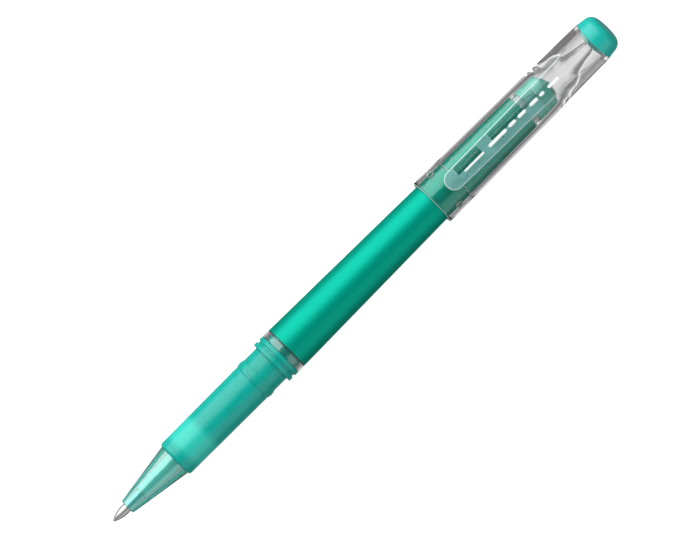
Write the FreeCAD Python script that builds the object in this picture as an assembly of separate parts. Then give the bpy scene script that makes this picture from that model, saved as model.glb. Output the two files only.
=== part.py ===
import FreeCAD, Part
import math
import os

from FreeCAD import Vector

# A capped gel pen with its cap posted on the back of the barrel. Millimetres.
# The pen lies on Z = 0 with its tip toward -X and its clip up. Every piece of the pen is described
# by stations s, the distance back from the writing ball along the pen's axis, and radii r.

# Whole pen
LENGTH = 161.16
AXIS_Z = 6.07

# Writing tip
BALL_R = 0.35
SOCKET_PLAY = 0.02
LIP_S = 0.22
LIP_R = 0.41
CONE_START = 0.5
CONE_START_R = 0.49
CONE_BEND_S = 1.75
CONE_BEND_R = 0.93
TIP_R = 1.20
TIP_CONE_END = 3.1
SHANK_R = 1.15
SHANK_END = 13.5
TIP_BORE_R = 0.75
CHANNEL_R = 0.16
CHANNEL_END = 2.3
FUNNEL_END = 2.8

# Tip spring
SPRING_WIRE_R = 0.06
SPRING_R = 0.45
SPRING_PITCH = 0.62
SPRING_START = 3.4
SPRING_END = 12.7

# Refill
HOLDER_FRONT = 9.5
HOLDER_FRONT_R = 1.62
HOLDER_STEP = 20.1
HOLDER_STEP_R = 2.22
HOLDER_BODY_R = 2.92
HOLDER_CLEARANCE = 0.12
VALVE_BALL_R = 1.08
VALVE_BALL_S = 14.95
VALVE_PLAY = 0.08
VALVE_PORT_R = 0.6
FEED_START = 21.6
FEED_R = 1.9
TUBE_START = 28.7
TUBE_END = 121.5
TUBE_R = 3.0
TUBE_BORE_R = 2.5
SPIGOT_END = 33.0
INK_END = 108.0
FOLLOWER_LENGTH = 8.0
TAIL_START = 118.6
TAIL_END = 122.4

# Front section: nose cone, core, snap bead, neck and flanges
NOSE_START = 4.55
NOSE_FRONT_R = 1.91
NOSE_END = 19.8
NOSE_END_R = 4.26
CORE_R = 3.90
SECTION_BORE_R = 3.10
TIP_CLEARANCE = 0.10
BEAD_START = 44.85
BEAD_R = 5.18
NECK_START = 47.3
NECK_R = 4.90
FLANGE_START = 51.2
FLANGE_R = 5.82
GROOVE_START = 52.3
GROOVE_END = 52.95
GROOVE_R = 5.42
SECTION_SEAT = 54.05
SPIGOT_R = 4.72
THREAD_END = 64.4

# Grip sleeve
GRIP_START = 19.86
GRIP_FRONT_R = 4.81
GRIP_REAR_R = 4.94
GRIP_BORE_R = 3.92

# Barrel: a clear tube inside a metallic sleeve, both on one taper
BARREL_START = 54.1
BARREL_FRONT_R = 5.80
BARREL_TAPER = 0.01454
COLLAR_END = 55.8
SLEEVE_START = 55.9
SLEEVE_END = 132.75
SLEEVE_WALL = 0.35
BARREL_END = 134.45
BARREL_STEP_R = 4.30
BARREL_BORE_R = 3.75
PLUG_SEAT_R = 3.50
PLUG_SEAT_START = 121.0
NOTCHES = 8
NOTCH_WIDTH = 1.5
NOTCH_DEPTH = 1.35

# End plug
PLUG_START = 122.6
PLUG_SHOULDER = 134.5
PLUG_R = 4.42
PLUG_BEVEL = 140.3
PLUG_END = 141.9
PLUG_END_R = 2.3
PLUG_HOLLOW_FRONT_R = 2.6
PLUG_HOLLOW_R = 2.9
PLUG_HOLLOW_END_R = 1.8
VENT_R = 0.5

# Cap
CAP_MOUTH = 103.3
CAP_MOUTH_R = AXIS_Z
CAP_BAND_END = 105.6
CAP_STEP = 140.3
CAP_STEP_R = 5.72
CAP_CROWN_START = 140.9
CAP_CROWN_R = 5.62
CAP_BEND_S = 154.0
CAP_BEND_R = 5.50
CAP_END = 157.8
CAP_END_R = 5.34
CAP_MOUTH_BORE_R = 5.33
CAP_STOP = 110.7
CAP_STOP_R = 5.08
CAP_BORE_BEND_S = 133.0
CAP_BORE_BEND_R = 4.86
CAP_CONE_START = 140.5
CAP_CONE_START_R = 4.62
CAP_CONE_END = 144.2
POCKET_R = 3.08
NOSE_SEAL_S = 147.6
NOSE_SEAL_R = 2.46
NOSE_SEAL_END = 150.7
NOSE_SEAL_END_R = 1.99
TIP_POCKET_R = 1.42
TIP_POCKET_TAPER_S = 152.7
TIP_POCKET_END = 155.4
TIP_POCKET_END_R = 0.55
NIPPLE_END = 155.9
SLANT = math.radians(15.0)
SEAT_S = 156.25
LUG_S = 107.35
LUG_R = 1.0
LUG_REACH = 5.075
LUG_ANGLES = (60.0, 180.0, 300.0)

# Clip
CLIP_START = 107.7
CLIP_TIP_HALF_WIDTH = 2.38
CLIP_HALF_WIDTH = 2.88
CLIP_CREST_S = 120.0
CLIP_HINGE = 137.0
CLIP_RIDGE_Z = 8.40
CLIP_THICKNESS = 1.75
CLIP_FALL = 0.12
CLIP_TIP_Z = 6.75
CLIP_BEVEL = 0.22
CLIP_REACH = 4.0
CLIP_BEND_S = 147.5
CLIP_BEND_DROP = 0.94
CLIP_END = 156.8
CLIP_END_Z = 5.0
FLARE_START = 146.0
FLARE_END = 154.5
FLARE_HALF_WIDTH = 3.9
ROOT_FRONT = 146.1
ROOT_SWEEP = 0.5
ROOT_END = 157.5
ROOT_LOW_Z = 4.0
PLATE_FOOT_S = 150.0
WEB_HALF_WIDTH = 0.75
WEB_START = 137.05
HINGE_GAP = 0.04
BUMP_S = 120.95
BUMP_R = 2.2
BUMP_LOW_Z = 5.93

# Eraser
ERASER_R = 5.33
ERASER_TAPER = 0.13
ERASER_PLANE_S = 160.55
ERASER_ROUND = 2.4
STEM_R = 3.60
STEM_BORE_R = 1.45
STEM_FLOOR_S = 154.8
SEAT_GAP = 0.05

# Over-long blanks that the slanted planes trim
BLANK_START = 150.0
BLANK_END = 165.0
CUTTER_END = 160.0


def place(s, r=0.0):
    """The point at station s, r above the pen's axis."""
    return Vector(s - LENGTH / 2, 0, AXIS_Z + r)


def closed_outline(points):
    """Closed wire through (s, r) corners; a ("via", s, r) entry bends the edge it stands in into an arc."""
    corners = list(points) + [points[0]]
    edges = []
    start = place(*corners[0])
    bend = None
    for corner in corners[1:]:
        if corner[0] == "via":
            bend = place(*corner[1:])
            continue
        end = place(*corner)
        edge = Part.Arc(start, bend, end) if bend else Part.LineSegment(start, end)
        edges.append(edge.toShape())
        start = end
        bend = None
    return Part.Wire(edges)


def turned(points):
    """Solid turned about the pen's axis from a closed outline."""
    return Part.Face(closed_outline(points)).revolve(place(0), Vector(1, 0, 0), 360)


def rod(start, end, r):
    """Cylinder on the pen's axis between two stations."""
    return Part.makeCylinder(r, end - start, place(start), Vector(1, 0, 0))


def barrel_r(s):
    """Outer radius of the barrel's taper at station s."""
    return BARREL_FRONT_R - (s - BARREL_START) * BARREL_TAPER


def slanted_front(s, reach=40.0):
    """Block that fills everything behind the cap's slanted plane through station s on the axis."""
    block = Part.makeBox(reach, reach, reach, Vector(0, -reach / 2, -reach / 2))
    block.rotate(Vector(0, 0, 0), Vector(0, 1, 0), -math.degrees(SLANT))
    block.translate(place(s))
    return block


def tip_ball():
    ball = Part.makeSphere(BALL_R)
    ball.translate(place(BALL_R))
    return ball


def tip_housing():
    """Turned metal tip: crimped lip, drawn cone, barrel, and a shank that the holder grips."""
    body = turned([
        (LIP_S, 0), (LIP_S, LIP_R), ("via", LIP_S + 0.1, LIP_R + 0.04), (CONE_START, CONE_START_R),
        ("via", CONE_BEND_S, CONE_BEND_R), (TIP_CONE_END, TIP_R), (HOLDER_FRONT - 0.05, TIP_R),
        (HOLDER_FRONT - 0.05, SHANK_R), (SHANK_END, SHANK_R), (SHANK_END, 0),
    ])
    socket = Part.makeSphere(BALL_R + SOCKET_PLAY)
    socket.translate(place(BALL_R))
    bore = turned([
        (BALL_R, 0), (BALL_R, CHANNEL_R), (CHANNEL_END, CHANNEL_R), (FUNNEL_END, TIP_BORE_R),
        (SHANK_END + 1, TIP_BORE_R), (SHANK_END + 1, 0),
    ])
    return body.cut(socket).cut(bore)


def tip_spring():
    """Coil spring whose first turn runs in to a straight nose that reaches the ball."""
    height = SPRING_END - SPRING_START
    helix = Part.makeHelix(SPRING_PITCH, height, SPRING_R)
    slope = Vector(0, SPRING_R, SPRING_PITCH / (2 * math.pi)).normalize()
    section = Part.Wire(Part.makeCircle(SPRING_WIRE_R, Vector(SPRING_R, 0, 0), slope))
    coil = Part.Wire(helix.Edges).makePipeShell([section], True, True)
    elbow_in = Part.makeSphere(SPRING_WIRE_R, Vector(0, 0, 0))
    elbow_out = Part.makeSphere(SPRING_WIRE_R, Vector(SPRING_R, 0, 0))
    spoke = Part.makeCylinder(SPRING_WIRE_R, SPRING_R, Vector(0, 0, 0), Vector(1, 0, 0))
    reach = SPRING_START - 2 * BALL_R - 2 * SOCKET_PLAY
    nose = Part.makeCylinder(SPRING_WIRE_R, reach, Vector(0, 0, -reach), Vector(0, 0, 1))
    spring = coil.fuse([elbow_in, elbow_out, spoke, nose])
    spring.rotate(Vector(0, 0, 0), Vector(0, 1, 0), 90)
    spring.translate(place(SPRING_START))
    return spring


def tip_holder():
    """Tapered joint: grips the metal tip in front, houses the valve ball, plugs into the tube behind."""
    chamber_r = VALVE_BALL_R + VALVE_PLAY
    seat = VALVE_BALL_S + VALVE_BALL_R
    body = turned([
        (HOLDER_FRONT, 0), (HOLDER_FRONT, HOLDER_FRONT_R), (HOLDER_STEP, HOLDER_STEP_R),
        (HOLDER_STEP + 0.8, HOLDER_BODY_R), (TUBE_START - 0.05, HOLDER_BODY_R),
        (TUBE_START - 0.05, TUBE_BORE_R - 0.02), (SPIGOT_END, TUBE_BORE_R - 0.1), (SPIGOT_END, 0),
    ])
    passage = turned([
        (HOLDER_FRONT - 1, 0), (HOLDER_FRONT - 1, chamber_r), (seat - 0.1, chamber_r),
        (seat + 0.6, VALVE_PORT_R), (HOLDER_STEP, VALVE_PORT_R), (FEED_START, FEED_R),
        (SPIGOT_END + 1, FEED_R), (SPIGOT_END + 1, 0),
    ])
    return body.cut(passage)


def check_ball():
    ball = Part.makeSphere(VALVE_BALL_R)
    ball.translate(place(VALVE_BALL_S))
    return ball


def refill_tube():
    return rod(TUBE_START, TUBE_END, TUBE_R).cut(rod(TUBE_START - 1, TUBE_END + 1, TUBE_BORE_R))


def ink_column():
    """Gel from the holder's passage back to the follower."""
    return turned([
        (FEED_START + 0.1, 0), (FEED_START + 0.1, FEED_R - 0.02), (SPIGOT_END + 0.05, FEED_R - 0.02),
        (SPIGOT_END + 0.05, TUBE_BORE_R - 0.02), (INK_END, TUBE_BORE_R - 0.02), (INK_END, 0),
    ])


def ink_follower():
    """Grease plug with a dished back face."""
    start = INK_END + 0.02
    end = start + FOLLOWER_LENGTH
    dish = Part.makeSphere(TUBE_BORE_R + 0.5)
    dish.translate(place(end + TUBE_BORE_R - 0.5))
    return rod(start, end, TUBE_BORE_R - 0.03).cut(dish)


def refill_tail_plug():
    """Flanged plug with a vent hole."""
    return turned([
        (TAIL_START, VENT_R), (TAIL_START, TUBE_BORE_R - 0.15), (TAIL_START + 0.5, TUBE_BORE_R - 0.01),
        (TUBE_END, TUBE_BORE_R - 0.01), (TUBE_END, TUBE_R - 0.1), (TAIL_END, TUBE_R - 0.1),
        (TAIL_END, VENT_R),
    ])


def front_section():
    """One clear moulding from the nose to the spigot that screws into the barrel."""
    front_r = NOSE_FRONT_R - 0.3
    body = turned([
        (NOSE_START, 0), (NOSE_START, front_r), ("via", NOSE_START + 0.07, front_r + 0.2),
        (NOSE_START + 0.3, NOSE_FRONT_R + 0.03), (NOSE_END, NOSE_END_R), (NOSE_END, CORE_R),
        (BEAD_START, CORE_R), (BEAD_START, GRIP_REAR_R), ("via", BEAD_START + 0.5, BEAD_R - 0.11),
        (BEAD_START + 1.1, BEAD_R), ("via", NECK_START - 0.6, BEAD_R - 0.09), (NECK_START, NECK_R),
        (FLANGE_START, NECK_R), (FLANGE_START, FLANGE_R - 0.12), (FLANGE_START + 0.12, FLANGE_R),
        (GROOVE_START - 0.1, FLANGE_R), (GROOVE_START, FLANGE_R - 0.1), (GROOVE_START, GROOVE_R),
        (GROOVE_END, GROOVE_R), (GROOVE_END, FLANGE_R - 0.1), (GROOVE_END + 0.1, FLANGE_R),
        (SECTION_SEAT - 0.1, FLANGE_R), (SECTION_SEAT, FLANGE_R - 0.1), (SECTION_SEAT, SPIGOT_R),
        (THREAD_END - 0.4, SPIGOT_R), (THREAD_END, SPIGOT_R - 0.4), (THREAD_END, 0),
    ])
    bore = turned([
        (NOSE_START - 1, 0), (NOSE_START - 1, TIP_R + TIP_CLEARANCE),
        (HOLDER_FRONT - 0.1, TIP_R + TIP_CLEARANCE), (HOLDER_FRONT - 0.1, HOLDER_FRONT_R + HOLDER_CLEARANCE),
        (HOLDER_STEP - 0.1, HOLDER_STEP_R + HOLDER_CLEARANCE), (HOLDER_STEP + 0.7, SECTION_BORE_R),
        (THREAD_END + 1, SECTION_BORE_R), (THREAD_END + 1, 0),
    ])
    return body.cut(bore)


def grip_sleeve():
    """Elastomer sleeve with a rounded front shoulder."""
    rear = BEAD_START - 0.05
    return turned([
        (GRIP_START, GRIP_BORE_R), (GRIP_START, NOSE_END_R + 0.02),
        ("via", GRIP_START + 0.3, GRIP_FRONT_R - 0.14), (GRIP_START + 0.9, GRIP_FRONT_R),
        (rear - 0.15, GRIP_REAR_R), (rear, GRIP_REAR_R - 0.1), (rear, GRIP_BORE_R),
    ])


def notch_cutters():
    """Blocks that cut the ring of notches in the tube's back edge."""
    cutters = []
    for index in range(NOTCHES):
        corner = Vector(0, -NOTCH_WIDTH / 2, PLUG_SEAT_R + 0.35)
        cutter = Part.makeBox(NOTCH_DEPTH + 1, NOTCH_WIDTH, 3, corner)
        cutter.translate(place(BARREL_END - NOTCH_DEPTH))
        cutter.rotate(place(0), Vector(1, 0, 0), (index + 0.5) * 360 / NOTCHES)
        cutters.append(cutter)
    return cutters


def barrel_tube():
    """Clear tube: front collar, sleeve seat, and a notched ring behind."""
    seat_start_r = barrel_r(COLLAR_END) - SLEEVE_WALL
    seat_end_r = barrel_r(SLEEVE_END) - SLEEVE_WALL
    ring_r = barrel_r(SLEEVE_END)
    body = turned([
        (BARREL_START, 0), (BARREL_START, BARREL_FRONT_R - 0.1), (BARREL_START + 0.1, BARREL_FRONT_R),
        (COLLAR_END - 0.08, BARREL_FRONT_R - 0.01), (COLLAR_END, BARREL_FRONT_R - 0.09),
        (COLLAR_END, seat_start_r), (SLEEVE_END + 0.1, seat_end_r), (SLEEVE_END + 0.1, ring_r),
        (BARREL_END - 0.12, ring_r - 0.03), (BARREL_END, ring_r - 0.15), (BARREL_END, 0),
    ])
    bore = turned([
        (BARREL_START - 1, 0), (BARREL_START - 1, SPIGOT_R + 0.05), (THREAD_END + 0.8, SPIGOT_R + 0.05),
        (THREAD_END + 1.4, BARREL_STEP_R), (PLUG_SEAT_START - 1, BARREL_BORE_R),
        (PLUG_SEAT_START, PLUG_SEAT_R), (BARREL_END + 1, PLUG_SEAT_R), (BARREL_END + 1, 0),
    ])
    return body.cut(bore).cut(notch_cutters())


def barrel_sleeve():
    """Thin metallic sleeve on the barrel's taper."""
    slide_fit = SLEEVE_WALL - 0.02
    return turned([
        (SLEEVE_START, barrel_r(SLEEVE_START) - slide_fit), (SLEEVE_START, barrel_r(SLEEVE_START) - 0.06),
        (SLEEVE_START + 0.06, barrel_r(SLEEVE_START)), (SLEEVE_END - 0.06, barrel_r(SLEEVE_END)),
        (SLEEVE_END, barrel_r(SLEEVE_END) - 0.06), (SLEEVE_END, barrel_r(SLEEVE_END) - slide_fit),
    ])


def end_plug():
    """Hollow plug pressed into the tube, with a head that bevels to a small vented end."""
    spigot_r = PLUG_SEAT_R - 0.01
    body = turned([
        (PLUG_START, 0), (PLUG_START, spigot_r - 0.3), (PLUG_START + 0.5, spigot_r),
        (PLUG_SHOULDER, spigot_r), (PLUG_SHOULDER, PLUG_R - 0.1), (PLUG_SHOULDER + 0.1, PLUG_R),
        (PLUG_BEVEL - 0.4, PLUG_R - 0.1), ("via", PLUG_BEVEL, PLUG_R - 0.25),
        (PLUG_BEVEL + 0.25, PLUG_R - 0.62), (PLUG_END - 0.25, PLUG_END_R + 0.3),
        ("via", PLUG_END - 0.07, PLUG_END_R + 0.14), (PLUG_END, PLUG_END_R), (PLUG_END, 0),
    ])
    hollow = turned([
        (PLUG_START - 1, 0), (PLUG_START - 1, PLUG_HOLLOW_FRONT_R), (PLUG_BEVEL - 1.2, PLUG_HOLLOW_R),
        (PLUG_BEVEL, PLUG_HOLLOW_END_R), (PLUG_BEVEL, VENT_R), (PLUG_END + 1, VENT_R), (PLUG_END + 1, 0),
    ])
    return body.cut(hollow)


def side_profile(points):
    """Flat face in the pen's middle plane through (s, z) corners."""
    return Part.Face(closed_outline(points))


def roofed(face, half_width, sweep=0.0):
    """Both halves of a bar under a ridge: the side profile falls away, and may sweep back, to each side."""
    run = Vector(sweep * half_width, half_width, -CLIP_FALL * half_width)
    left = face.extrude(run)
    right = left.mirror(place(0), Vector(0, 1, 0))
    return left.fuse(right).removeSplitter()


def clip_plan():
    """Plan outline of the clip: round free end, sides that widen a little, and a flare at the crown."""
    shoulder_x = place(CLIP_START + CLIP_TIP_HALF_WIDTH).x
    flare_x = place(FLARE_START).x
    crown_x = place(FLARE_END).x
    end_x = place(FLARE_END + 4).x
    side = [(shoulder_x, CLIP_TIP_HALF_WIDTH), (flare_x, CLIP_HALF_WIDTH), (crown_x, FLARE_HALF_WIDTH),
            (end_x, FLARE_HALF_WIDTH)]
    right = [Vector(x, -y, AXIS_Z) for x, y in side]
    left = [Vector(x, y, AXIS_Z) for x, y in reversed(side)]
    free_end = Part.Arc(left[-1], place(CLIP_START), right[0]).toShape()
    outline = Part.Wire([free_end] + Part.makePolygon(right + left).Edges)
    return Part.Face(outline).extrude(Vector(0, 0, 12))


def clip_top():
    """Ridge line of the clip from the hinge back to the crown, as the bend and end of one arc."""
    return [("via", CLIP_BEND_S, CLIP_RIDGE_Z - CLIP_BEND_DROP), (CLIP_END, CLIP_END_Z)]


def bevel_top_edges(shape, size):
    """Bevel the rim of the clip's upper faces."""
    picked = []
    for edge in shape.Edges:
        middle = edge.valueAt((edge.FirstParameter + edge.LastParameter) / 2)
        off_ridge = abs(middle.y) > 0.3 or middle.x < place(CLIP_START).x + 0.3
        ridge_side = AXIS_Z + CLIP_RIDGE_Z - CLIP_FALL * abs(middle.y) - middle.z
        if off_ridge and ridge_side < 0.35 and edge.Length > 1.5 and middle.x < place(CLIP_HINGE).x - 0.5:
            picked.append(edge)
    return shape.makeChamfer(size, picked)


def cap_clip():
    """Clip arm: a shallow roofed bar with a round free end and a gripping bump underneath."""
    arm_end = CLIP_HINGE - HINGE_GAP
    under_z = CLIP_RIDGE_Z - CLIP_THICKNESS
    arm = side_profile([
        (CLIP_START - 1, CLIP_TIP_Z + 0.25), (CLIP_START - 1, CLIP_RIDGE_Z - 0.12),
        ("via", CLIP_CREST_S, CLIP_RIDGE_Z), (arm_end, CLIP_RIDGE_Z), (arm_end, under_z),
        (CLIP_START + 4, under_z),
    ])
    bar = roofed(arm, CLIP_REACH).common(clip_plan())
    bar = bevel_top_edges(bar, CLIP_BEVEL)
    bump_axis = place(BUMP_S, BUMP_LOW_Z + BUMP_R) - Vector(0, CLIP_HALF_WIDTH, 0)
    bump = Part.makeCylinder(BUMP_R, 2 * CLIP_HALF_WIDTH, bump_axis, Vector(0, 1, 0))
    keep = Part.makeBox(20, 20, 3, place(BUMP_S - 10, 4.5) - Vector(0, 10, 0))
    return bar.fuse(bump.common(keep).common(clip_plan())).removeSplitter()


def clip_root():
    """Fixed back of the clip: the plate behind the hinge, its middle web and the solid root."""
    under_z = CLIP_RIDGE_Z - CLIP_THICKNESS
    plate = side_profile([
        (CLIP_HINGE, under_z), (CLIP_HINGE, CLIP_RIDGE_Z), *clip_top(), (CLIP_END, CLIP_END_Z - 1),
        (PLATE_FOOT_S, CLIP_END_Z),
    ])
    web = Part.makeBox(ROOT_FRONT - WEB_START + 2, 2 * WEB_HALF_WIDTH, under_z - CLIP_END_Z + 0.3,
                       place(WEB_START, CLIP_END_Z) - Vector(0, WEB_HALF_WIDTH, 0))
    root = side_profile([
        (ROOT_FRONT, ROOT_LOW_Z), (ROOT_FRONT, under_z + 0.3), (ROOT_END, under_z + 0.3),
        (ROOT_END, ROOT_LOW_Z),
    ])
    under_roof = side_profile([
        (CLIP_HINGE, ROOT_LOW_Z - 1), (CLIP_HINGE, CLIP_RIDGE_Z), *clip_top(), (CLIP_END, ROOT_LOW_Z - 1),
    ])
    block = roofed(root, CLIP_REACH, ROOT_SWEEP).common(roofed(under_roof, CLIP_REACH))
    return roofed(plate, CLIP_REACH).fuse(block).common(clip_plan()).fuse(web)


def snap_lugs():
    """Three round lugs on the mouth's wall that grip the barrel, or snap behind the bead when capped."""
    ring = rod(LUG_S - 3, LUG_S + 3, CAP_MOUTH_BORE_R + 0.2).cut(rod(LUG_S - 4, LUG_S + 4, LUG_REACH))
    lugs = []
    for angle in LUG_ANGLES:
        lug = Part.makeCylinder(LUG_R, 2, place(LUG_S, LUG_REACH - 0.5), Vector(0, 0, 1))
        lug.rotate(place(0), Vector(1, 0, 0), angle)
        lugs.append(lug.common(ring))
    return lugs


def cap_shell():
    """Clear cap: mouth band, tapered wall, crown with the tip pocket, eraser seat, lugs and clip root."""
    body = turned([
        (CAP_MOUTH, 0), (CAP_MOUTH, CAP_MOUTH_R - 0.15), (CAP_MOUTH + 0.15, CAP_MOUTH_R),
        (CAP_BAND_END, CAP_MOUTH_R), (CAP_BAND_END + 0.6, CAP_MOUTH_R - 0.05), (CAP_STEP, CAP_STEP_R),
        (CAP_CROWN_START, CAP_CROWN_R), (CAP_BEND_S, CAP_BEND_R), (CAP_END, CAP_END_R), (CAP_END, 0),
    ]).fuse(clip_root())
    bore = turned([
        (CAP_MOUTH - 1, 0), (CAP_MOUTH - 1, CAP_MOUTH_BORE_R + 0.45), (CAP_MOUTH, CAP_MOUTH_BORE_R + 0.25),
        (CAP_MOUTH + 0.8, CAP_MOUTH_BORE_R), (CAP_STOP, CAP_MOUTH_BORE_R - 0.05),
        (CAP_STOP + 0.15, CAP_STOP_R), (CAP_BORE_BEND_S, CAP_BORE_BEND_R),
        (CAP_CONE_START, CAP_CONE_START_R), (CAP_CONE_END, POCKET_R),
        (NOSE_SEAL_S, POCKET_R), (NOSE_SEAL_S + 0.1, NOSE_SEAL_R), (NOSE_SEAL_END, NOSE_SEAL_END_R),
        (NOSE_SEAL_END, TIP_POCKET_R), (TIP_POCKET_TAPER_S, TIP_POCKET_R - 0.02),
        (TIP_POCKET_END, TIP_POCKET_END_R), (TIP_POCKET_END, 0),
    ])
    stem_groove = rod(BLANK_START, CUTTER_END, STEM_R + 0.03)
    stem_groove = stem_groove.cut(rod(BLANK_START - 1, CUTTER_END + 1, STEM_BORE_R - 0.1))
    stem_groove = stem_groove.common(slanted_front(STEM_FLOOR_S))
    nipple_clearance = rod(NIPPLE_END, CUTTER_END, STEM_R)
    shell = body.cut([bore, stem_groove, nipple_clearance, slanted_front(SEAT_S)])
    return shell.fuse(snap_lugs()).removeSplitter()


def eraser():
    """Slant-ended eraser whose ring-shaped stem sits in the crown's groove."""
    front_r = ERASER_R + (SEAT_S - BLANK_START) * ERASER_TAPER
    back_r = ERASER_R - (BLANK_END - SEAT_S) * ERASER_TAPER
    head = turned([(BLANK_START, 0), (BLANK_START, front_r), (BLANK_END, back_r), (BLANK_END, 0)])
    head = head.common(slanted_front(SEAT_S + SEAT_GAP)).cut(slanted_front(ERASER_PLANE_S))
    rim_x = place(ERASER_PLANE_S - 1.25).x
    rim = [edge for edge in head.Edges if edge.CenterOfMass.x > rim_x and edge.Length > 10]
    head = head.makeFillet(ERASER_ROUND, rim)
    stem = rod(BLANK_START, CAP_END + 0.2, STEM_R).common(slanted_front(STEM_FLOOR_S + SEAT_GAP))
    socket = rod(BLANK_START, NIPPLE_END + 0.25, STEM_BORE_R)
    return head.fuse(stem.cut(slanted_front(SEAT_S + 0.5))).cut(socket).removeSplitter()


PIECES = {
    "tip_ball": tip_ball,
    "tip_housing": tip_housing,
    "tip_spring": tip_spring,
    "tip_holder": tip_holder,
    "check_ball": check_ball,
    "refill_tube": refill_tube,
    "ink_column": ink_column,
    "ink_follower": ink_follower,
    "refill_tail_plug": refill_tail_plug,
    "front_section": front_section,
    "grip_sleeve": grip_sleeve,
    "barrel_tube": barrel_tube,
    "barrel_sleeve": barrel_sleeve,
    "end_plug": end_plug,
    "cap_shell": cap_shell,
    "cap_clip": cap_clip,
    "eraser": eraser,
}

os.makedirs("parts", exist_ok=True)
for name, build in PIECES.items():
    shape = build()
    box = shape.BoundBox
    print(name, shape.isValid(), len(shape.Solids), round(shape.Volume, 3),
          [round(value, 3) for value in (box.XMin, box.XMax, box.YMin, box.YMax, box.ZMin, box.ZMax)])
    shape.exportStep("parts/" + name + ".step")
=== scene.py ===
import math

import bmesh
import bpy
from mathutils import Matrix, Vector


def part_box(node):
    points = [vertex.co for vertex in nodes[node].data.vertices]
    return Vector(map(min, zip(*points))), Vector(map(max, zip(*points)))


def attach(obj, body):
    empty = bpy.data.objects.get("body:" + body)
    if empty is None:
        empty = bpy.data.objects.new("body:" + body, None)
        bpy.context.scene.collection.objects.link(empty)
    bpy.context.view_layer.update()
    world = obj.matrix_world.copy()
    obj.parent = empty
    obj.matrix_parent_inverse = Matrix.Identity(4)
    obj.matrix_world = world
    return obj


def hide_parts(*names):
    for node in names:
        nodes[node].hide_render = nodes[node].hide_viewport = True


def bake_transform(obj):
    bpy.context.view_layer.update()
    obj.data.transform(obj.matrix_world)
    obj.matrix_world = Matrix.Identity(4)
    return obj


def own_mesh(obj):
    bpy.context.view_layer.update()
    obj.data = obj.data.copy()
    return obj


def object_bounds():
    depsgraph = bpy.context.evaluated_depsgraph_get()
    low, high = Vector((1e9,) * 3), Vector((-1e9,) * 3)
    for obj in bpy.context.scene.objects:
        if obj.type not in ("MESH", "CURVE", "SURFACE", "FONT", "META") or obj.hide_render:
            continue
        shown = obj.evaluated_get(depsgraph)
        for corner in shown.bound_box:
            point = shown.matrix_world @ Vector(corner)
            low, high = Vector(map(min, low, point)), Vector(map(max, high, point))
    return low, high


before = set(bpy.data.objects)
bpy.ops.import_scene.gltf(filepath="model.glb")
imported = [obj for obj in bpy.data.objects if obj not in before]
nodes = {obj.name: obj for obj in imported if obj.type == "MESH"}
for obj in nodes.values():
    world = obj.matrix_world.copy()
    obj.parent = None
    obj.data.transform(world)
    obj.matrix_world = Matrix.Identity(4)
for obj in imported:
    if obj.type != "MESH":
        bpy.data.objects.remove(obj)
cad_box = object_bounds()
scene = bpy.context.scene

LOW = cad_box[0]
AXIS_Z = (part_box("barrel_sleeve")[0][2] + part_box("barrel_sleeve")[1][2]) / 2


def at(s, y=0.0, r=0.0):
    """Row-frame point s mm behind the writing ball, y mm across and r mm above the pen's axis."""
    return Vector((s / 1000 + LOW[0], y / 1000, AXIS_Z + r / 1000))


def pen_coords(point):
    """The reverse of at(): a point's station, y across and height above the axis, in mm."""
    return (point.x - LOW[0]) * 1000, point.y * 1000, (point.z - AXIS_Z) * 1000


# ---------------------------------------------------------------- materials

PLASTIC_IOR = 1.5
POLISH_IOR = 1.9
GRAIN_RANGE = (0.3, 0.7)
GRAIN_DEPTH = 0.00001


def material(name):
    mat = bpy.data.materials.new(name)
    mat.use_nodes = True
    tree = mat.node_tree
    shader = tree.nodes["Principled BSDF"]
    return mat, tree, shader


def noise(tree, scale, detail, stretch=(1, 1, 1)):
    """Noise texture in object coordinates, in cells per metre."""
    coords = tree.nodes.new("ShaderNodeTexCoord")
    mapping = tree.nodes.new("ShaderNodeMapping")
    mapping.inputs["Scale"].default_value = stretch
    tex = tree.nodes.new("ShaderNodeTexNoise")
    tex.inputs["Scale"].default_value = scale
    tex.inputs["Detail"].default_value = detail
    tree.links.new(coords.outputs["Object"], mapping.inputs["Vector"])
    tree.links.new(mapping.outputs["Vector"], tex.inputs["Vector"])
    return tex


def ramp(tree, source, stops):
    """Colour ramp through (position, colour) stops."""
    node = tree.nodes.new("ShaderNodeValToRGB")
    elements = node.color_ramp.elements
    while len(elements) < len(stops):
        elements.new(0.5)
    for element, (pos, colour) in zip(elements, stops):
        element.position = pos
        element.color = (*colour, 1)
    tree.links.new(source, node.inputs["Fac"])
    return node


def remap(tree, source, low, high, src=GRAIN_RANGE):
    """Stretches source, which runs over src, to run from low to high."""
    node = tree.nodes.new("ShaderNodeMapRange")
    node.inputs["From Min"].default_value = src[0]
    node.inputs["From Max"].default_value = src[1]
    node.inputs["To Min"].default_value = low
    node.inputs["To Max"].default_value = high
    tree.links.new(source, node.inputs["Value"])
    return node.outputs["Result"]


def bump(tree, shader, source, strength):
    node = tree.nodes.new("ShaderNodeBump")
    node.inputs["Strength"].default_value = strength
    node.inputs["Distance"].default_value = GRAIN_DEPTH
    tree.links.new(source, node.inputs["Height"])
    tree.links.new(node.outputs["Normal"], shader.inputs["Normal"])


def dimmed(colour, share):
    return tuple(c * share for c in colour)


def paint(tree, shader, tex, dark, light, rough_low, rough_high):
    """Base colour and roughness that vary together with a noise texture; gives back the colour."""
    shade = ramp(tree, tex.outputs["Fac"], [(GRAIN_RANGE[0], dark), (GRAIN_RANGE[1], light)])
    tree.links.new(shade.outputs["Color"], shader.inputs["Base Color"])
    tree.links.new(remap(tree, tex.outputs["Fac"], rough_low, rough_high), shader.inputs["Roughness"])
    return shade.outputs["Color"]


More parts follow.
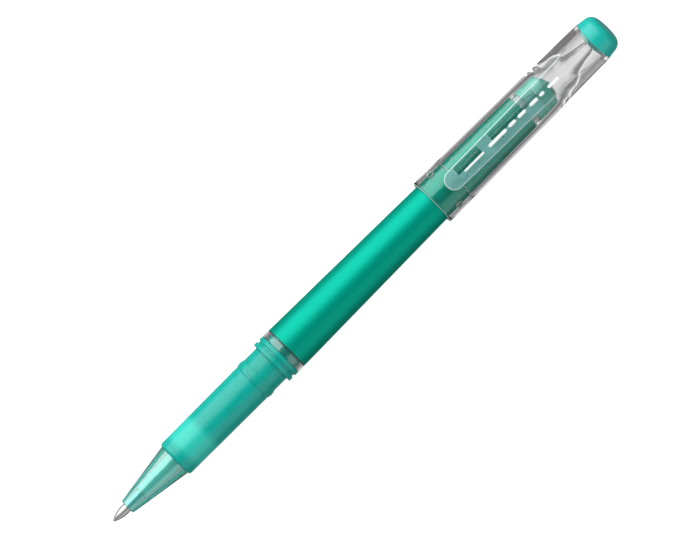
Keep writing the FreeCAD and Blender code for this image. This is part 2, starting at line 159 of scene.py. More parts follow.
def clear_plastic(name, tint, density, rough, base=(1, 1, 1), clarity=1.0, polish=0.0, mirror=1.0):
    """Moulded transparent plastic: clear surface with faint flow marks, colour from its depth."""
    mat, tree, shader = material(name)
    shader.inputs["Transmission Weight"].default_value = clarity
    shader.inputs["IOR"].default_value = PLASTIC_IOR
    shader.inputs["Coat Weight"].default_value = polish
    shader.inputs["Coat IOR"].default_value = POLISH_IOR
    shader.inputs["Specular Tint"].default_value = (mirror, mirror, mirror, 1)
    tex = noise(tree, 260, 2.0, (0.25, 1, 1))
    paint(tree, shader, tex, dimmed(base, 0.97), base, rough * 0.6, rough * 1.6)
    if density:
        volume = tree.nodes.new("ShaderNodeVolumeAbsorption")
        volume.inputs["Color"].default_value = (*tint, 1)
        volume.inputs["Density"].default_value = density
        tree.links.new(volume.outputs["Volume"], tree.nodes["Material Output"].inputs["Volume"])
    return mat


def moulded_edge(name, light, rough, clarity, scale=2500):
    """Edge or frosted face of a clear moulding, matt enough to catch the light; its colour is also used to
    paint light or shade onto some faces.
    """
    mat, tree, shader = material(name)
    tex = noise(tree, scale, 2.0)
    paint(tree, shader, tex, dimmed(light, 0.98), light, rough * 0.9, rough * 1.1)
    shader.inputs["Transmission Weight"].default_value = clarity
    shader.inputs["IOR"].default_value = PLASTIC_IOR
    return mat


def metal(name, colour, rough, scale, stretch):
    mat, tree, shader = material(name)
    shader.inputs["Metallic"].default_value = 1.0
    tex = noise(tree, scale, 4.0, stretch)
    paint(tree, shader, tex, dimmed(colour, 0.88), colour, rough * 0.7, rough * 1.4)
    bump(tree, shader, tex.outputs["Fac"], 0.15)
    return mat


def solid_plastic(name, dark, light, rough, scale, transmission=0.0, gloss=0.5, coat=0.0):
    mat, tree, shader = material(name)
    tex = noise(tree, scale, 4.0)
    paint(tree, shader, tex, dark, light, rough * 0.8, rough * 1.25)
    shader.inputs["Transmission Weight"].default_value = transmission
    shader.inputs["Specular IOR Level"].default_value = gloss
    shader.inputs["Coat Weight"].default_value = coat
    shader.inputs["Coat Roughness"].default_value = 0.35
    bump(tree, shader, tex.outputs["Fac"], 0.1)
    return mat


def pearl(name):
    """Metallic lacquer: fine flakes in a deep green base under a faint satin coat."""
    mat, tree, shader = material(name)
    flakes = noise(tree, 9000, 2.0)
    shade = ramp(tree, flakes.outputs["Fac"], [(0.35, (0.0, 0.30, 0.205)), (0.65, (0.0, 0.41, 0.295))])
    tree.links.new(shade.outputs["Color"], shader.inputs["Base Color"])
    shader.inputs["Metallic"].default_value = 0.58
    shader.inputs["Specular IOR Level"].default_value = 0.1
    shader.inputs["Specular Tint"].default_value = (0.15, 0.55, 0.45, 1)
    tree.links.new(remap(tree, flakes.outputs["Fac"], 0.44, 0.56), shader.inputs["Roughness"])
    shader.inputs["Coat Weight"].default_value = 0.06
    shader.inputs["Coat Roughness"].default_value = 0.3
    bump(tree, shader, flakes.outputs["Fac"], 0.12)
    return mat


GLOW_BLUR = 2.0
GLOW_EDGE = 1.3
DARK = (0, 0, 0)
FULL = (1, 1, 1)


def frosted_teal(name, dark, light, rough, painted_glow=None):
    """Translucent teal moulding; the optional last argument is (start, end, colour) of a band where the base
    colour is painted lighter, standing in for light from a pale piece glowing through it.
    """
    mat, tree, shader = material(name)
    tex = noise(tree, 900, 4.0)
    colour = paint(tree, shader, tex, dark, light, rough * 0.8, rough * 1.25)
    # painted glow: the base colour is blended toward a lighter colour over the band, with eased ends
    if painted_glow:
        start, end, glow = painted_glow
        coords = tree.nodes.new("ShaderNodeTexCoord")
        split = tree.nodes.new("ShaderNodeSeparateXYZ")
        tree.links.new(coords.outputs["Object"], split.inputs["Vector"])
        glow_ends = (at(start - GLOW_BLUR).x, at(end + GLOW_BLUR).x)
        reach = remap(tree, split.outputs["X"], 0.0, 1.0, glow_ends)
        edge = GLOW_BLUR / (end - start + 2 * GLOW_BLUR)
        stops = [(0.0, DARK), (edge * GLOW_EDGE, FULL), (1 - edge * GLOW_EDGE, FULL), (1.0, DARK)]
        blur = ramp(tree, reach, stops)
        blur.color_ramp.interpolation = "EASE"
        mix = tree.nodes.new("ShaderNodeMix")
        mix.data_type = "RGBA"
        tree.links.new(blur.outputs["Color"], mix.inputs["Factor"])
        tree.links.new(colour, mix.inputs["A"])
        mix.inputs["B"].default_value = (*glow, 1)
        tree.links.new(mix.outputs["Result"], shader.inputs["Base Color"])
    shader.inputs["Specular IOR Level"].default_value = 0.15
    shader.inputs["Coat Weight"].default_value = 0.4
    shader.inputs["Coat Roughness"].default_value = 0.28
    shader.inputs["Subsurface Weight"].default_value = 0.35
    shader.inputs["Subsurface Radius"].default_value = (0.0002, 0.0012, 0.0010)
    shader.inputs["Subsurface Scale"].default_value = 1.0
    bump(tree, shader, tex.outputs["Fac"], 0.12)
    return mat


# finishes that only some faces of a piece have, some of them painting light or shade onto those faces, and
# the two clear plastics
CLEAR = clear_plastic("clear_cap", (0.9, 0.9, 0.92), 6, 0.02, mirror=0.5)
# painted highlight: pale, half-matt edges of the clear moulding show as bright lines
EDGE_HIGHLIGHT = moulded_edge("clear_edge_painted_highlight", (0.86, 1.0, 0.98), 0.35, 0.40)
# painted shade: green-tinted haze on the +Y half of the clip's underside, so that half looks darker
HAZE_AND_SHADE = moulded_edge("clear_haze_painted_shade", (0.80, 0.98, 0.95), 0.10, 1.0, 900)
# painted light: pale frost on the clip's tip, its bump and the -Y half of its underside, so that half looks
# lighter
FROST_AND_LIGHT = moulded_edge("clear_frost_painted_light", (0.42, 0.99, 0.93), 0.30, 0.45, 350)
# frosted inner pocket; its near-white diffuse share is painted light that brightens the crown
POCKET_PAINTED_LIGHT = moulded_edge("clear_pocket_painted_light", (0.99, 0.985, 0.99), 0.12, 0.85, 350)
# painted highlight: the lug rims are nearly white so they show bright inside the wall
LUG_RIM_HIGHLIGHT = moulded_edge("lug_rim_painted_highlight", (0.94, 0.98, 0.97), 0.30, 0.15)
# painted shade: the sleeve's cut front end is coloured near black as the shadow at the seam
SEAM_SHADE = solid_plastic("sleeve_edge_painted_shade", (0.0, 0.045, 0.035), (0.0, 0.07, 0.055), 0.5, 900)
TEAL_CLEAR = clear_plastic("clear_teal", (0.02, 0.96, 0.91), 900, 0.05, (0.34, 0.95, 0.90), 0.82, 0.8)
TEAL_FROST = frosted_teal("frosted_teal", (0.0, 0.36, 0.29), (0.0, 0.41, 0.335), 0.32)
PRINT = solid_plastic("print_white", (0.92, 0.96, 0.96), (0.96, 0.99, 0.99), 0.5, 3000)
# painted light: grip colour lightened over the milky tip holder, as (start, end, colour) in mm
PAINTED_HOLDER_GLOW = (23.2, 28.4, (0.03, 0.58, 0.48))

MATERIALS = {
    "tip_ball": metal("carbide", (0.45, 0.46, 0.48), 0.15, 4000, (1, 1, 1)),
    "tip_housing": metal("nickel_silver", (0.52, 0.515, 0.51), 0.38, 3000, (6, 1, 1)),
    "tip_spring": metal("spring_wire", (0.6, 0.6, 0.62), 0.25, 3000, (1, 1, 1)),
    "tip_holder": solid_plastic("milky", (0.82, 0.93, 0.90), (0.92, 0.98, 0.96), 0.3, 500, 0.1),
    "check_ball": metal("valve_ball", (0.6, 0.6, 0.62), 0.15, 4000, (1, 1, 1)),
    "refill_tube": clear_plastic("tube_plastic", (0.7, 0.95, 0.9), 60, 0.2),
    "ink_column": solid_plastic("gel", (0.0, 0.30, 0.24), (0.0, 0.42, 0.34), 0.3, 400),
    "ink_follower": solid_plastic("grease", (0.7, 0.75, 0.5), (0.8, 0.85, 0.6), 0.3, 400),
    "refill_tail_plug": solid_plastic("tail_plug", (0.7, 0.8, 0.76), (0.8, 0.9, 0.86), 0.35, 400),
    "front_section": TEAL_CLEAR,
    "grip_sleeve": frosted_teal("grip", (0.0, 0.38, 0.315), (0.0, 0.43, 0.36), 0.34, PAINTED_HOLDER_GLOW),
    "barrel_tube": clear_plastic("clear_tube", (0.9, 0.9, 0.92), 20, 0.03),
    "barrel_sleeve": pearl("pearl_green"),
    "end_plug": solid_plastic("mint", (0.10, 0.58, 0.45), (0.16, 0.66, 0.53), 0.3, 400),
    "cap_shell": CLEAR,
    "cap_clip": CLEAR,
    "eraser": solid_plastic("eraser_rubber", (0.0, 0.45, 0.38), (0.0, 0.51, 0.44), 0.42, 900,
                            gloss=0.15, coat=0.75),
}
for name, mat in MATERIALS.items():
    mesh = nodes[name].data
    mesh.materials.clear()
    mesh.materials.append(mat)


# the front section is frosted from the snap bead back
FROSTED_FROM = 44
front = nodes["front_section"].data
front.materials.append(TEAL_FROST)
for face in front.polygons:
    if pen_coords(face.center)[0] > FROSTED_FROM:
        face.material_index = 1


# ---------------------------------------------------------------- mesh tools

WELD_DISTANCE = 1e-7


def mesh_object(name, verts, faces, mats, smooth=True):
    mesh = bpy.data.meshes.new(name)
    mesh.from_pydata(verts, [], faces)
    mesh.validate()
    mesh.update()
    for mat in mats:
        mesh.materials.append(mat)
    for face in mesh.polygons:
        face.use_smooth = smooth
    obj = bpy.data.objects.new(name, mesh)
    scene.collection.objects.link(obj)
    return obj


def tidy_solid(obj):
    """Welds coincident vertices and turns the faces outward."""
    weld = bmesh.new()
    weld.from_mesh(obj.data)
    bmesh.ops.remove_doubles(weld, verts=weld.verts, dist=WELD_DISTANCE)
    bmesh.ops.recalc_face_normals(weld, faces=weld.faces)
    weld.to_mesh(obj.data)
    weld.free()
    return obj


def without_repeats(corners):
    """A face's corners with neighbours that are the same vertex taken once."""
    return [c for i, c in enumerate(corners) if c != corners[i - 1]]


def sharpen(mesh, degrees):
    """Smooth shading everywhere but across edges sharper than the given angle."""
    for face in mesh.polygons:
        face.use_smooth = True
    mesh.set_sharp_from_angle(angle=math.radians(degrees))


def spin(name, profile, mats, segments=160):
    """Closed solid turned about the pen's axis; profile holds (s, r, slant) corners of a closed outline."""
    verts, rings = [], []
    for s, r, slant in profile:
        if r == 0:
            rings.append([len(verts)] * segments)
            verts.append(at(s))
            continue
        rings.append(list(range(len(verts), len(verts) + segments)))
        for k in range(segments):
            a = 2 * math.pi * k / segments
            verts.append(at(s - slant * r * math.cos(a), r * math.sin(a), r * math.cos(a)))
    faces = []
    for low, high in zip(rings, rings[1:] + rings[:1]):
        for k in range(segments):
            m = (k + 1) % segments
            corners = without_repeats([low[k], low[m], high[m], high[k]])
            if len(corners) >= 3 and low[0] != high[0]:
                faces.append(corners)
    return mesh_object(name, verts, faces, mats)


def outline_points(corners, step=2.0):
    """Corners with extra points along every straight stretch longer than step."""
    points = []
    for start, end in zip(corners, corners[1:] + corners[:1]):
        points.append(start)
        if start[2] != end[2] or start[1] == 0 or end[1] == 0:
            continue
        pieces = int(abs(end[0] - start[0]) / step)
        points += [tuple(a + (b - a) * i / pieces for a, b in zip(start, end)) for i in range(1, pieces)]
    return points


# ---------------------------------------------------------------- clear cap and clip

SLANT = math.tan(math.radians(15))
SEAT = 156.25
CAP_OUTLINE = [
    (103.3, 5.82, 0), (103.33, 5.95, 0), (103.42, 6.04, 0), (103.55, 6.069, 0), (105.6, 6.069, 0),
    (105.9, 6.055, 0), (106.2, 6.02, 0), (138.6, 5.735, 0), (139.6, 5.72, 0), (140.6, 5.69, 0),
    (141.6, 5.655, 0), (142.6, 5.63, 0), (143.6, 5.615, 0), (154.0, 5.50, 0), (SEAT, 5.405, SLANT),
    (SEAT, 3.63, SLANT), (154.8, 3.63, SLANT), (154.8, 1.35, SLANT), (155.9, 1.35, 0), (155.9, 0, 0),
    (155.4, 0, 0), (155.4, 0.55, 0), (152.7, 1.40, 0), (151.6, 1.47, 0), (150.7, 1.62, 0),
    (149.8, 1.86, 0), (148.6, 2.20, 0), (147.9, 2.50, 0), (147.2, 2.84, 0), (146.5, 3.0, 0),
    (145.8, 3.05, 0), (145.2, 3.09, 0), (144.7, 3.16, 0), (144.2, 3.28, 0), (143.6, 3.48, 0),
    (141.4, 4.28, 0), (140.8, 4.45, 0), (140.2, 4.56, 0), (139.5, 4.64, 0), (138.6, 4.69, 0),
    (133.0, 4.86, 0), (110.9, 5.079, 0), (110.82, 5.10, 0), (110.7, 5.27, 0), (110.6, 5.289, 0),
    (103.9, 5.335, 0), (103.5, 5.37, 0), (103.32, 5.48, 0),
]
CLIP_FRONT = pen_coords(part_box("cap_clip")[0])[0]
CLIP_PEAK = pen_coords(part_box("cap_clip")[1])[2]
CLIP_PEAK_S = 128.48
CLIP_CURVE = 0.000299
CLIP_FALL = 0.12
CLIP_THICK = 1.75
LIP_LENGTH = 4
LIP_SLOPE = 0.07
HINGE_S = 137.0
PLATE_Z = 8.40
PLATE_ARC = 59.1
TIP_HALF = 2.38
SHOULDER = CLIP_FRONT + TIP_HALF
FLARE_S = 146.0
CLIP_HALF = 2.88
CROWN_S = 154.5
CROWN_HALF = 3.9


def ridge_r(s):
    """Height of the clip's ridge above the pen's axis."""
    if s <= HINGE_S:
        return CLIP_PEAK - CLIP_CURVE * (s - CLIP_PEAK_S) ** 2
    return PLATE_Z - PLATE_ARC + math.sqrt(PLATE_ARC ** 2 - (s - HINGE_S) ** 2)


def roof_r(s, y):
    """Height of the clip's top, which falls away from the ridge to both sides."""
    return ridge_r(s) - CLIP_FALL * abs(y)


def clip_half(s):
    """Half-width of the clip in plan behind its round end."""
    if s <= FLARE_S:
        return TIP_HALF + (CLIP_HALF - TIP_HALF) * max(0.0, s - SHOULDER) / (FLARE_S - SHOULDER)
    return CLIP_HALF + (CROWN_HALF - CLIP_HALF) * min(1.0, (s - FLARE_S) / (CROWN_S - FLARE_S))


def grid_faces(rows, flip=False):
    """Faces between neighbouring rows of vertices."""
    faces = []
    for low, high in zip(rows, rows[1:]):
        for k in range(len(low) - 1):
            corners = without_repeats([low[k], high[k], high[k + 1], low[k + 1]])
            if len(corners) >= 3:
                faces.append(corners[::-1] if flip else corners)
    return faces


BUMP_S = 120.95
BUMP_R = 2.2
BUMP_LOW = 5.94
BUMP_STEPS = (-1.75, -1.64, -1.45, -1.2, -0.9, -0.6, -0.3, 0, 0.3, 0.6, 0.9, 1.2, 1.45, 1.64, 1.75)
BUMP_HALF = 1.7
TIP_ANGLES = (0, 3, 8, 15, 23, 32, 41, 50, 59, 68, 76, 84)
ARM_ROWS = 50
ARM_BEVEL = 0.10
HINGE_GAP = 0.04
TOP_ROLL = ((0.0, -0.18), (0.03, -0.08), (0.09, -0.02), (0.18, 0.0))
FROSTED_TIP = 3.9
ON_AXIS = 1e-6
ARM_SHARP = 40
SHARP = 28


def arm_underside(s, y):
    """Height of the arm's underside, with the lifted lip at its tip and the round bump."""
    lip = max(0.0, CLIP_FRONT + LIP_LENGTH - s) * LIP_SLOPE
    base = PLATE_Z - CLIP_THICK + lip - CLIP_FALL * abs(y)
    reach = BUMP_R ** 2 - (s - BUMP_S) ** 2
    return min(base, BUMP_LOW + BUMP_R - math.sqrt(reach)) if reach > 0 else base


def clip_arm():
    """Clip arm: shallow roof, rolled top rim, round free end and a gripping bump underneath."""
    rear = HINGE_S - HINGE_GAP
    stations = [("arc", math.radians(a)) for a in TIP_ANGLES]
    straight = [SHOULDER + (rear - SHOULDER) * i / ARM_ROWS for i in range(ARM_ROWS + 1)]
    straight += [BUMP_S + step for step in BUMP_STEPS]
    stations += [("line", s) for s in sorted(straight)]
    verts = []

    def row(kind, value, inset, columns, height):
        """Vertices across the arm at one station, -Y rim to +Y rim, on an outline moved in by inset."""
        if kind == "arc":
            s = SHOULDER - (TIP_HALF - inset) * math.cos(value)
            half = (TIP_HALF - inset) * math.sin(value)
        else:
            s = value
            half = clip_half(s) - inset
        indices = []
        for t in columns:
            if half < ON_AXIS and indices:
                indices.append(indices[0])
                continue
            y = half * t
            indices.append(len(verts))
            verts.append(at(s, y, height(s, y)))
        return indices

    def bevel_top(s, y):
        return arm_underside(s, y) + ARM_BEVEL

    across = [i / 8 - 1 for i in range(17)]
    top = [row(kind, v, TOP_ROLL[-1][0], across, roof_r) for kind, v in stations]
    bottom = [row(kind, v, ARM_BEVEL, across, arm_underside) for kind, v in stations]
    loops = [[row(kind, v, ARM_BEVEL, (-1, 1), arm_underside) for kind, v in stations],
             [row(kind, v, 0.0, (-1, 1), bevel_top) for kind, v in stations]]
    loops += [[row(kind, v, inset, (-1, 1), lambda s, y, d=drop: roof_r(s, y) + d) for kind, v in stations]
              for inset, drop in TOP_ROLL]
    faces = grid_faces(top)
    under_start = len(faces)
    faces += grid_faces(bottom, True)
    under_end = len(faces)
    rim = []
    for loop_low, loop_high in zip(loops, loops[1:]):
        low = [r[0] for r in reversed(loop_low)] + [r[1] for r in loop_low[1:]]
        high = [r[0] for r in reversed(loop_high)] + [r[1] for r in loop_high[1:]]
        rim.append(len(faces))
        for a, b, c, d in zip(low, low[1:], high[1:], high):
            corners = without_repeats([a, b, c, d])
            if len(corners) >= 3:
                faces.append(corners[::-1])
    closing = len(faces)
    end_left = [loop[-1][1] for loop in loops]
    end_right = [loop[-1][0] for loop in loops]
    faces.append(bottom[-1] + end_left[1:-1] + top[-1][::-1] + end_right[-2:0:-1])
    obj = mesh_object("clip_arm", verts, faces, [CLEAR, EDGE_HIGHLIGHT, HAZE_AND_SHADE, FROST_AND_LIGHT])
    for face in obj.data.polygons:
        s, y, _ = pen_coords(face.center)
        # the rolled rim gets the pale edge, a painted highlight
        if rim[2] <= face.index < closing:
            face.material_index = 1
        elif under_start <= face.index < under_end:
            # painted light and shade: the underside is paler on the -Y half and tinted darker on the +Y
            # half; the tip and the bump are frosted too
            frosted_or_painted_light = s < CLIP_FRONT + FROSTED_TIP or abs(s - BUMP_S) < BUMP_HALF or y < 0
            face.material_index = 3 if frosted_or_painted_light else 2
    tidy_solid(obj)
    sharpen(obj.data, ARM_SHARP)
    return obj


PLATE_STATIONS = [HINGE_S, 138.5, 140, 141.5, 143, 144.5, 146.0]
ROOT_FRONT = 146.1
ROOT_SWEEP = 0.5
ROOT_STEP = 0.03
ROOT_BACK = 154.3
ROOT_ROWS = 8
ROOT_LOW = 4.0
ROOT_ROLL = 0.12
ROOT_EDGE = 0.945
PLATE_SLOPE_RISE = 1.65
PLATE_SLOPE_RUN = 13


def clip_root_mesh():
    """Fixed back of the clip: plate behind the hinge and the root that runs into the crown in a swept V."""
    across = [-1, -ROOT_EDGE] + [i / 8 - 1 for i in range(1, 16)] + [ROOT_EDGE, 1]
    verts, rows_top, rows_bottom = [], [], []
    columns = []
    for t in across:
        front = ROOT_FRONT + ROOT_SWEEP * abs(CLIP_HALF * t)
        behind = [front + (ROOT_BACK - front) * i / ROOT_ROWS for i in range(1, ROOT_ROWS + 1)]
        columns.append(PLATE_STATIONS + [front - ROOT_STEP, front] + behind)
    last = len(columns[0]) - 1
    plate_rows = len(PLATE_STATIONS) + 1
    for i in range(last + 1):
        top, bottom = [], []
        for t, stops in zip(across, columns):
            s = stops[i]
            y = clip_half(s) * t
            top.append(len(verts))
            verts.append(at(s, y, roof_r(s, y) - (ROOT_ROLL if abs(t) == 1 else 0)))
            low = ROOT_LOW
            if i < plate_rows:
                slope = (s - HINGE_S) * PLATE_SLOPE_RISE / PLATE_SLOPE_RUN
                low = PLATE_Z - CLIP_THICK - slope - CLIP_FALL * abs(y)
            bottom.append(len(verts))
            verts.append(at(s, y, low))
        rows_top.append(top)
        rows_bottom.append(bottom)
    faces = grid_faces(rows_top) + grid_faces(rows_bottom, True)
    for i in range(last):
        low, low_next, high, high_next = rows_bottom[i], rows_bottom[i + 1], rows_top[i], rows_top[i + 1]
        faces.append((low[0], low_next[0], high_next[0], high[0]))
        faces.append((low[-1], high[-1], high_next[-1], low_next[-1]))
    faces.append((rows_bottom[0] + rows_top[0][::-1])[::-1])
    faces.append(rows_bottom[last] + rows_top[last][::-1])
    return mesh_object("clip_root", verts, faces, [CLEAR])


def slab(name, s0, s1, y0, y1, r0, r1):
    """Rectangular block between two stations, widths and heights."""
    verts = [at(s, y, r) for s in (s0, s1) for y in (y0, y1) for r in (r0, r1)]
    faces = [(0, 1, 3, 2), (4, 6, 7, 5), (0, 4, 5, 1), (2, 3, 7, 6), (0, 2, 6, 4), (1, 5, 7, 3)]
    return mesh_object(name, verts, faces, [CLEAR])


LUG_S = 107.35
LUG_ANGLES = (60, 180, 300)
LUG_RINGS = [(0.0, 5.08), (0.62, 5.08), (0.84, 5.10), (0.96, 5.18), (1.0, 5.45)]
LUG_SIDES = 32


def lug(name, angle):
    """Round snap lug with a rolled rim, its back buried in the wall of the mouth."""
    verts, faces = [], []
    turn = Matrix.Rotation(math.radians(-angle), 3, "X")
    for rho, r in LUG_RINGS:
        for k in range(LUG_SIDES):
            a = 2 * math.pi * k / LUG_SIDES
            local = Vector((rho * math.cos(a), rho * math.sin(a), r)) / 1000
            verts.append(at(LUG_S) + turn @ local)
    for i in range(len(LUG_RINGS) - 1):
        low, high = i * LUG_SIDES, (i + 1) * LUG_SIDES
        for k in range(LUG_SIDES):
            m = (k + 1) % LUG_SIDES
            faces.append((low + k, low + m, high + m, high + k))
    faces.append(tuple((len(LUG_RINGS) - 1) * LUG_SIDES + k for k in range(LUG_SIDES)))
    return mesh_object(name, verts, faces, [CLEAR])


def union(base, others):
    """Joins the other solids into the base and removes them."""
    for other in others:
        step = base.modifiers.new("join", "BOOLEAN")
        step.operation = "UNION"
        step.solver = "EXACT"
        step.object = other
        graph = bpy.context.evaluated_depsgraph_get()
        joined = bpy.data.meshes.new_from_object(base.evaluated_get(graph))
        base.modifiers.clear()
        base.data = joined
        bpy.data.objects.remove(other)
    return base


def leans(normal, y, z):
    """How far the normal of a face at (y, z) leans away from the radius through it."""
    return abs(normal.x) + abs(normal.y * z - normal.z * y) / math.hypot(y, z)


MOUTH_END = 103.45
LUG_ZONE = (106.2, 108.5)
LUG_ZONE_R = (5.075, 5.315)
LUG_LEAN = 0.2
STOP_ZONE = (110.65, 110.89)
STOP_ZONE_R = (5.08, 5.28)
PLATE_END = 147
PLATE_LOW = 6.2
PLATE_RIM = 0.95
WALL_R = 5.8
POCKET_ZONE = (140.5, 155.5)
POCKET_ZONE_R = 4.5


def cap_finish(face):
    """Material index of a face of the cap: 0 clear, 1 pale edge painted as a highlight, 2 tip pocket painted
    partly light, 3 lug rim painted as a highlight.
    """
    s, y, z = pen_coords(face.center)
    r = math.hypot(y, z)
    if (LUG_ZONE[0] < s < LUG_ZONE[1] and LUG_ZONE_R[0] < r < LUG_ZONE_R[1]
            and leans(face.normal, y, z) > LUG_LEAN):
        return 3
    if POCKET_ZONE[0] < s < POCKET_ZONE[1] and r < POCKET_ZONE_R:
        return 2
    mouth = s < MOUTH_END
    stop = STOP_ZONE[0] < s < STOP_ZONE[1] and STOP_ZONE_R[0] < r < STOP_ZONE_R[1]
    on_plate = HINGE_S < s < PLATE_END and z > PLATE_LOW and r > WALL_R
    if mouth or stop or (on_plate and abs(y) > clip_half(s) * PLATE_RIM):
        return 1
    return 0


WEB = (137.05, 148.0, -0.75, 0.75, 5.2, 6.4)
cap = tidy_solid(spin("clear_cap", outline_points(CAP_OUTLINE), [CLEAR]))
web = tidy_solid(slab("clip_web", *WEB))
cap = union(cap, [tidy_solid(clip_root_mesh()), web] + [tidy_solid(lug("lug", a)) for a in LUG_ANGLES])
sharpen(cap.data, SHARP)
for mat in (EDGE_HIGHLIGHT, POCKET_PAINTED_LIGHT, LUG_RIM_HIGHLIGHT):
    cap.data.materials.append(mat)
for face in cap.data.polygons:
    finish = cap_finish(face)
    if finish:
        face.material_index = finish
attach(cap, "cap")
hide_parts("cap_shell")

SLEEVE_OUTLINE = [
    (55.9, 5.45, 0), (55.9, 5.66, 0), (55.98, 5.74, 0), (56.18, 5.745, 0), (56.26, 5.768, 0),
    (132.65, 4.657, 0), (132.75, 4.60, 0), (132.75, 4.338, 0),
]
SEAM_SHADE_END = 56.2
sleeve = tidy_solid(spin("pearl_sleeve", outline_points(SLEEVE_OUTLINE), [MATERIALS["barrel_sleeve"], SEAM_SHADE]))
sharpen(sleeve.data, SHARP)
# the sleeve's front end is painted dark as shade
for face in sleeve.data.polygons:
    if face.center.x < at(SEAM_SHADE_END).x:
        face.material_index = 1
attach(sleeve, "barrel")
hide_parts("barrel_sleeve")

arm = clip_arm()
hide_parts("cap_clip")
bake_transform(arm)


# ---------------------------------------------------------------- ink, which shortens as the follower moves

INK_FRONT = 21.7
INK_STEP = 33.05
INK_BACK = 108.0
INK_GAP = 0.01
HOLDER_INK_R = 1.88
TUBE_INK_R = 2.48
INK_SIDES = 64


def gel(name, start, end, radius):
    """Cylinder of ink from station start to end, in mm, that rides on the refill."""
    profile = outline_points([(start, 0, 0), (start, radius, 0), (end, radius, 0), (end, 0, 0)])
    obj = tidy_solid(spin(name, profile, [MATERIALS["ink_column"]], INK_SIDES))
    sharpen(obj.data, SHARP)
    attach(obj, "refill")
    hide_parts("ink_column")
    return obj


# the ink in the holder stays where it is, and only the wide part in the tube shortens
gel("gel_ink_front", INK_FRONT, INK_STEP - INK_GAP, HOLDER_INK_R)
ink = gel("gel_ink", INK_STEP, INK_BACK, TUBE_INK_R)
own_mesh(ink)


# ---------------------------------------------------------------- printing on the clip

PRINT_COLUMNS = 10
PRINT_STEP = 0.15
PRINT_LAYERS = (0.004, 0.014)
PRINT_ROUND = 0.3


def print_bar(name, body, start, end, y_low, y_high):
    """Thin printed bar with round ends on the clip's top, between two stations and two widths, in mm."""
    along = max(2, int((end - start) / PRINT_STEP))
    verts, faces = [], []
    for layer in PRINT_LAYERS:
        for i in range(along + 1):
            s = start + (end - start) * i / along
            short = max(0.0, 1 - min(s - start, end - s) / PRINT_ROUND)
            inset = PRINT_ROUND * (1 - math.sqrt(1 - short ** 2))
            for k in range(PRINT_COLUMNS + 1):
                y = y_low + inset + (y_high - y_low - 2 * inset) * k / PRINT_COLUMNS
                verts.append(at(s, y, roof_r(s, y) + layer))
    row = PRINT_COLUMNS + 1
    count = (along + 1) * row
    for i in range(along):
        for k in range(PRINT_COLUMNS):
            a = i * row + k
            faces.append((a, a + 1, a + row + 1, a + row))
            faces.append((count + a, count + a + row, count + a + row + 1, count + a + 1))
    rim = list(range(row))
    rim += [i * row + PRINT_COLUMNS for i in range(1, along + 1)]
    rim += [along * row + k for k in range(PRINT_COLUMNS - 1, -1, -1)]
    rim += [i * row for i in range(along - 1, 0, -1)]
    for a, b in zip(rim, rim[1:] + rim[:1]):
        faces.append((a, count + a, count + b, b))
    obj = tidy_solid(mesh_object(name, verts, faces, [PRINT], False))
    if body == "clip":
        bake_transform(obj)
    else:
        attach(obj, body)


# words are left out: plain dashes of the same extent stand in for them
PRINTED = [
    ("print_dash_1", "clip", 113.0, 119.4, -0.55, -0.05), ("print_dash_2", "clip", 121.0, 126.6, -0.6, 0.15),
    ("print_dash_3", "clip", 127.4, 129.6, -0.6, 0.15), ("print_dash_4", "clip", 130.4, 132.9, -0.6, 0.15),
    ("print_dash_5", "clip", 134.2, 136.7, -0.6, 0.15), ("print_dash_6", "cap", 137.4, 138.8, -0.6, 0.15),
    ("print_dash_7", "cap", 140.1, 143.6, -0.6, 0.15),
]
for dash in PRINTED:
    print_bar(*dash)


# ---------------------------------------------------------------- studio

FLOOR_GLOW = 0.75
FLOOR_HALF = 3.0
FLOOR_GAP = 0.00002
PANEL_GLOW = 0.9
PANEL_HALF_X = 0.35
PANEL_HALF_Y = 0.17
PANEL_BRIGHT_Y = 0.012
PANEL_DEPTH = 0.25
KEY = 3.0
FILL = 0.85
WORLD_LOW = (0.20, 0.19, 0.195)
WORLD_STOPS = [
    (0.0, WORLD_LOW), (0.42, WORLD_LOW), (0.52, (0.27, 0.26, 0.27)), (0.80, (0.24, 0.24, 0.24)),
    (0.97, (0.15, 0.15, 0.15)),
]


def flat_sheet(name, half_x, half_y, z):
    """Level rectangle of scenery under the pen."""
    corners = [(-half_x, -half_y, 0), (half_x, -half_y, 0), (half_x, half_y, 0), (-half_x, half_y, 0)]
    mesh = bpy.data.meshes.new(name)
    mesh.from_pydata(corners, [], [(0, 1, 2, 3)])
    obj = bpy.data.objects.new(name, mesh)
    scene.collection.objects.link(obj)
    obj.location = (0, 0, z)
    return obj


def floor():
    """Pale floor for the camera; clear parts look through it at the light panel below."""
    obj = flat_sheet("floor", FLOOR_HALF, FLOOR_HALF, LOW[2] - FLOOR_GAP)
    mat, tree, shader = material("white_floor")
    tex = noise(tree, 3, 2.0)
    shade = ramp(tree, tex.outputs["Fac"], [(0.3, (0.88, 0.88, 0.88)), (0.7, (0.90, 0.90, 0.90))])
    tree.links.new(shade.outputs["Color"], shader.inputs["Base Color"])
    shader.inputs["Roughness"].default_value = 0.9
    shader.inputs["Specular IOR Level"].default_value = 0.0
    shader.inputs["Emission Color"].default_value = (1, 1, 1, 1)
    shader.inputs["Emission Strength"].default_value = FLOOR_GLOW
    obj.data.materials.append(mat)
    obj.visible_transmission = False
    obj.visible_glossy = False
    obj.visible_diffuse = False


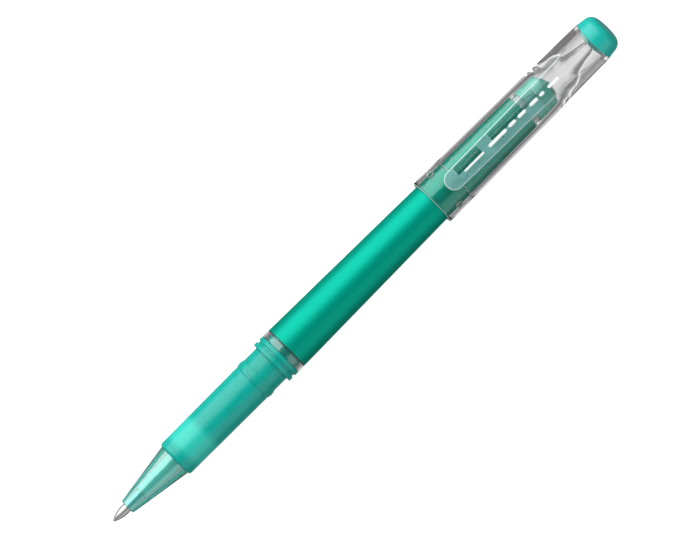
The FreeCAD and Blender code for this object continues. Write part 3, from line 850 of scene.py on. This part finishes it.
def light_panel():
    """Backlight under the floor, seen only through clear parts."""
    obj = flat_sheet("light_panel", PANEL_HALF_X, PANEL_HALF_Y, -PANEL_DEPTH)
    mat, tree, shader = material("panel_glow")
    shader.inputs["Base Color"].default_value = (0, 0, 0, 1)
    shader.inputs["Specular IOR Level"].default_value = 0.0
    shader.inputs["Emission Strength"].default_value = 1.0
    coords = tree.nodes.new("ShaderNodeTexCoord")
    split = tree.nodes.new("ShaderNodeSeparateXYZ")
    tree.links.new(coords.outputs["Object"], split.inputs["Vector"])
    off_middle = tree.nodes.new("ShaderNodeMath")
    off_middle.operation = "ABSOLUTE"
    tree.links.new(split.outputs["Y"], off_middle.inputs[0])
    fade = remap(tree, off_middle.outputs["Value"], 0.0, 1.0, (PANEL_BRIGHT_Y, PANEL_HALF_Y))
    glow = ramp(tree, fade, [(0.0, (PANEL_GLOW,) * 3), (1.0, WORLD_LOW)])
    tree.links.new(glow.outputs["Color"], shader.inputs["Emission Color"])
    obj.data.materials.append(mat)
    obj.visible_camera = False
    obj.visible_glossy = False
    obj.visible_diffuse = False
    obj.visible_shadow = False


def softbox(name, angle, side, distance, width, length, radiance):
    """Area light round the pen's axis; angle is from straight up toward the +Y or -Y side."""
    light = bpy.data.lights.new(name, "AREA")
    light.shape = "RECTANGLE"
    light.size = length
    light.size_y = width
    light.energy = radiance * math.pi * width * length
    obj = bpy.data.objects.new(name, light)
    scene.collection.objects.link(obj)
    a = math.radians(angle) * side
    back = Vector((0, math.sin(a), math.cos(a)))
    across = Vector((1, 0, 0))
    obj.matrix_world = Matrix.Translation(Vector((0, 0, AXIS_Z)) + back * distance) @ Matrix(
        (across, back.cross(across), back)).transposed().to_4x4()
    obj.visible_camera = False


def surroundings():
    """Dim grey world, shaded from the nadir to the zenith."""
    world = bpy.data.worlds.new("studio")
    scene.world = world
    world.use_nodes = True
    tree = world.node_tree
    coords = tree.nodes.new("ShaderNodeTexCoord")
    split = tree.nodes.new("ShaderNodeSeparateXYZ")
    tree.links.new(coords.outputs["Generated"], split.inputs["Vector"])
    height = remap(tree, split.outputs["Z"], 0.0, 1.0, (-1.0, 1.0))
    shade = ramp(tree, height, WORLD_STOPS)
    tree.links.new(shade.outputs["Color"], tree.nodes["Background"].inputs["Color"])


floor()
light_panel()
surroundings()
softbox("key", angle=53, side=1, distance=0.6, width=0.88, length=0.9, radiance=KEY)
softbox("fill", angle=62, side=-1, distance=0.7, width=0.70, length=1.4, radiance=FILL)

# ---------------------------------------------------------------- camera

CAMERA_LENS = 201.69
SENSOR_WIDTH = 36
EYE = (37.0, -5.93, 900.0)
TARGET = (79.603, 2.927)
CAMERA_ROLL = -0.0354

camera = bpy.data.cameras.new("camera")
camera.lens = CAMERA_LENS
camera.sensor_width = SENSOR_WIDTH
camera.clip_start = 0.01
camera.clip_end = 20
cam = bpy.data.objects.new("camera", camera)
scene.collection.objects.link(cam)
scene.camera = cam
eye = at(*EYE)
forward = (at(*TARGET) - eye).normalized()
right = forward.cross(Vector((1, 1, 0))).normalized()
up = right.cross(forward)
roll = math.radians(CAMERA_ROLL)
right, up = right * math.cos(roll) + up * math.sin(roll), up * math.cos(roll) - right * math.sin(roll)
cam.matrix_world = Matrix.Translation(eye) @ Matrix((right, up, -forward)).transposed().to_4x4()

scene.view_settings.view_transform = "Standard"
scene.view_settings.look = "None"
# the clear pieces lie several deep, so light needs many bounces
scene.cycles.max_bounces = 32
scene.cycles.transmission_bounces = 24
scene.cycles.glossy_bounces = 8
scene.cycles.transparent_max_bounces = 24
scene.cycles.volume_bounces = 0
scene.cycles.use_denoising = True
scene.cycles.seed = 7
